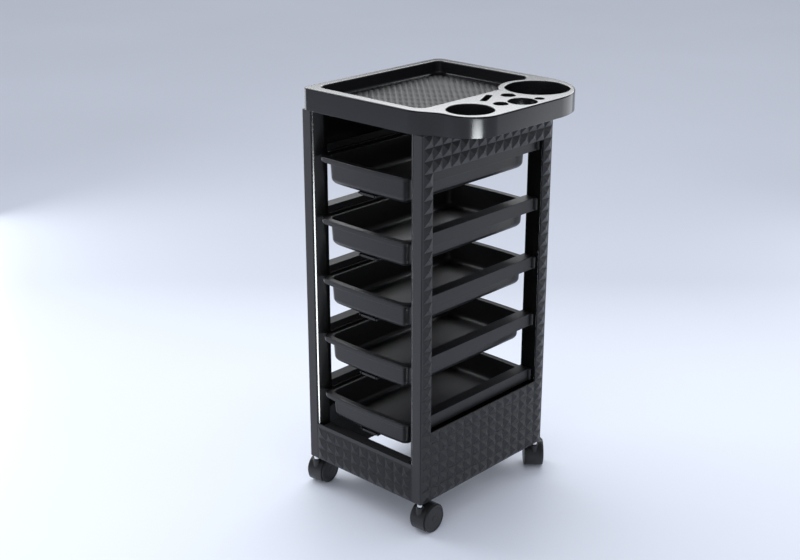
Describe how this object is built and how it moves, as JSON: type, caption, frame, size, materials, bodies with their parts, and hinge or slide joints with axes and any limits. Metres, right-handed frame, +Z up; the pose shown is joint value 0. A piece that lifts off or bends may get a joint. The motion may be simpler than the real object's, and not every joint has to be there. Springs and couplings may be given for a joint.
{
  "type": "salon trolley",
  "caption": "Rolling salon trolley with pyramid-relief side panels, sliding drawers on open side rails, a moulded top tray with cup wells and tool holes, and hooded swivel casters.",
  "frame": {"origin": "centre of the object's box at rest, on the floor under the wheels", "axes": "+Z up, -Y towards the front that the drawers slide out of, +X towards the cup wells"},
  "size_m": [0.4722, 0.4544, 0.896],
  "materials": {
    "satin_black": "satin black moulded plastic",
    "gloss_black": "glossy black moulded plastic",
    "drawer_black": "semi-gloss black moulded plastic",
    "caster_black": "satin black nylon",
    "chrome": "bright chrome plate"
  },
  "bodies": {
    "cabinet": {"base_panel_front": "satin_black", "base_panel_rear": "satin_black", "caster_front_left_stem": "chrome", "caster_front_right_stem": "chrome", "caster_rear_left_stem": "chrome", "caster_rear_right_stem": "chrome", "inner_frame_left": "gloss_black", "inner_frame_right": "gloss_black", "runner_rail_left_1": "gloss_black", "runner_rail_left_2": "gloss_black", "runner_rail_left_3": "gloss_black", "runner_rail_left_4": "gloss_black", "runner_rail_left_5": "gloss_black", "runner_rail_right_1": "gloss_black", "runner_rail_right_2": "gloss_black", "runner_rail_right_3": "gloss_black", "runner_rail_right_4": "gloss_black", "runner_rail_right_5": "gloss_black", "side_cover_left": "satin_black", "side_cover_right": "satin_black", "top_tray": "gloss_black"},
    "drawer_1": {"drawer_1": "drawer_black"},
    "drawer_2": {"drawer_2": "drawer_black"},
    "drawer_3": {"drawer_3": "drawer_black"},
    "drawer_4": {"drawer_4": "drawer_black"},
    "drawer_5": {"drawer_5": "drawer_black"},
    "swivel_front_left": {"caster_front_left_hood": "caster_black", "caster_front_left_axle": "chrome"},
    "wheel_front_left_a": {"caster_front_left_wheel_a": "caster_black"},
    "wheel_front_left_b": {"caster_front_left_wheel_b": "caster_black"},
    "swivel_front_right": {"caster_front_right_hood": "caster_black", "caster_front_right_axle": "chrome"},
    "wheel_front_right_a": {"caster_front_right_wheel_a": "caster_black"},
    "wheel_front_right_b": {"caster_front_right_wheel_b": "caster_black"},
    "swivel_rear_left": {"caster_rear_left_hood": "caster_black", "caster_rear_left_axle": "chrome"},
    "wheel_rear_left_a": {"caster_rear_left_wheel_a": "caster_black"},
    "wheel_rear_left_b": {"caster_rear_left_wheel_b": "caster_black"},
    "swivel_rear_right": {"caster_rear_right_hood": "caster_black", "caster_rear_right_axle": "chrome"},
    "wheel_rear_right_a": {"caster_rear_right_wheel_a": "caster_black"},
    "wheel_rear_right_b": {"caster_rear_right_wheel_b": "caster_black"}
  },
  "joints": [
    {"name": "drawer_1_slide", "type": "slide", "parent": "cabinet", "child": "drawer_1", "axis": [0, -1, 0], "range_m": [0, 0.28]},
    {"name": "drawer_2_slide", "type": "slide", "parent": "cabinet", "child": "drawer_2", "axis": [0, -1, 0], "range_m": [0, 0.28]},
    {"name": "drawer_3_slide", "type": "slide", "parent": "cabinet", "child": "drawer_3", "axis": [0, -1, 0], "range_m": [0, 0.28]},
    {"name": "drawer_4_slide", "type": "slide", "parent": "cabinet", "child": "drawer_4", "axis": [0, -1, 0], "range_m": [0, 0.28]},
    {"name": "drawer_5_slide", "type": "slide", "parent": "cabinet", "child": "drawer_5", "axis": [0, -1, 0], "range_m": [0, 0.28]},
    {"name": "swivel_front_left_turn", "type": "hinge", "parent": "cabinet", "child": "swivel_front_left", "pos_m": [-0.19612, -0.21225, 0.07], "axis": [0, 0, 1], "continuous": true},
    {"name": "wheel_front_left_a_roll", "type": "hinge", "parent": "swivel_front_left", "child": "wheel_front_left_a", "pos_m": [-0.18872, -0.18949, 0.03], "axis": [0.9903, 0.1392, 0], "continuous": true},
    {"name": "wheel_front_left_b_roll", "type": "hinge", "parent": "swivel_front_left", "child": "wheel_front_left_b", "pos_m": [-0.20951, -0.19242, 0.03], "axis": [0.9903, 0.1392, 0], "continuous": true},
    {"name": "swivel_front_right_turn", "type": "hinge", "parent": "cabinet", "child": "swivel_front_right", "pos_m": [0.11228, -0.21225, 0.07], "axis": [0, 0, 1], "continuous": true},
    {"name": "wheel_front_right_a_roll", "type": "hinge", "parent": "swivel_front_right", "child": "wheel_front_right_a", "pos_m": [0.12202, -0.19039, 0.03], "axis": [0.9994, 0.0349, 0], "continuous": true},
    {"name": "wheel_front_right_b_roll", "type": "hinge", "parent": "swivel_front_right", "child": "wheel_front_right_b", "pos_m": [0.10103, -0.19112, 0.03], "axis": [0.9994, 0.0349, 0], "continuous": true},
    {"name": "swivel_rear_left_turn", "type": "hinge", "parent": "cabinet", "child": "swivel_rear_left", "pos_m": [-0.19612, 0.17095, 0.07], "axis": [0, 0, 1], "continuous": true},
    {"name": "wheel_rear_left_a_roll", "type": "hinge", "parent": "swivel_rear_left", "child": "wheel_rear_left_a", "pos_m": [-0.19528, 0.19487, 0.03], "axis": [0.9135, 0.4067, 0], "continuous": true},
    {"name": "wheel_rear_left_b_roll", "type": "hinge", "parent": "swivel_rear_left", "child": "wheel_rear_left_b", "pos_m": [-0.21446, 0.18632, 0.03], "axis": [0.9135, 0.4067, 0], "continuous": true},
    {"name": "swivel_rear_right_turn", "type": "hinge", "parent": "cabinet", "child": "swivel_rear_right", "pos_m": [0.11228, 0.17095, 0.07], "axis": [0, 0, 1], "continuous": true},
    {"name": "wheel_rear_right_a_roll", "type": "hinge", "parent": "swivel_rear_right", "child": "wheel_rear_right_a", "pos_m": [0.10529, 0.19384, 0.03], "axis": [0.7314, 0.682, 0], "continuous": true},
    {"name": "wheel_rear_right_b_roll", "type": "hinge", "parent": "swivel_rear_right", "child": "wheel_rear_right_b", "pos_m": [0.08994, 0.17952, 0.03], "axis": [0.7314, 0.682, 0], "continuous": true}
  ]
}
